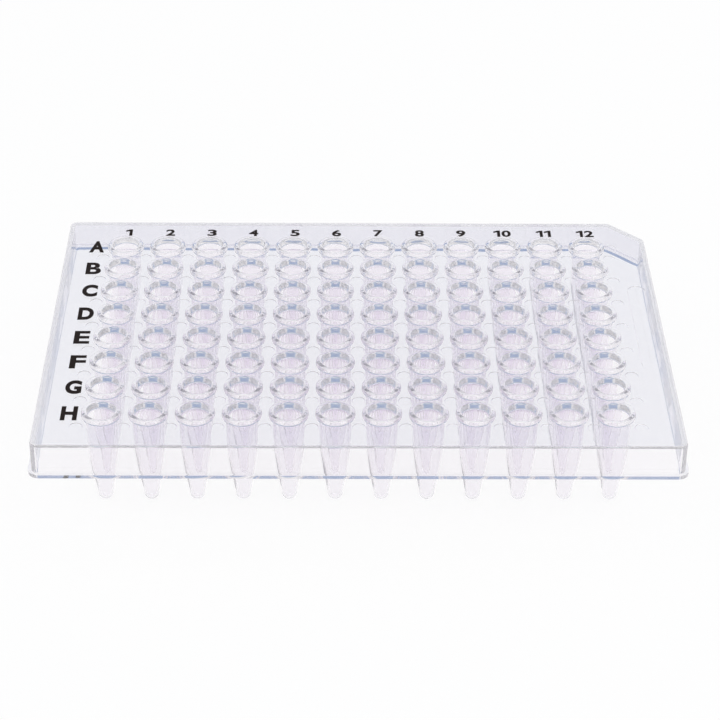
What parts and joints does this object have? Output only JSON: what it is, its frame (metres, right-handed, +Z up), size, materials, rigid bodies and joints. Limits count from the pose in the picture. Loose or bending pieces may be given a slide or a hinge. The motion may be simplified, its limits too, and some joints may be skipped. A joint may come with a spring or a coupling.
{
  "type": "well plate",
  "caption": "Half-skirted laboratory plate with a grid of raised-rim conical wells, a foot flange round its skirt and one notched corner.",
  "frame": {"origin": "centre of the plate in plan, on the plane that the well tips stand on", "axes": "+Z up out of the wells, +X from column 1 to column 12, +Y from row H to row A"},
  "size_m": [0.126, 0.086, 0.0206],
  "materials": {
    "clear_polypropylene": "clear, slightly milky moulded polypropylene with polished faces"
  },
  "bodies": {
    "root": {"plate": "clear_polypropylene"}
  },
  "joints": []
}
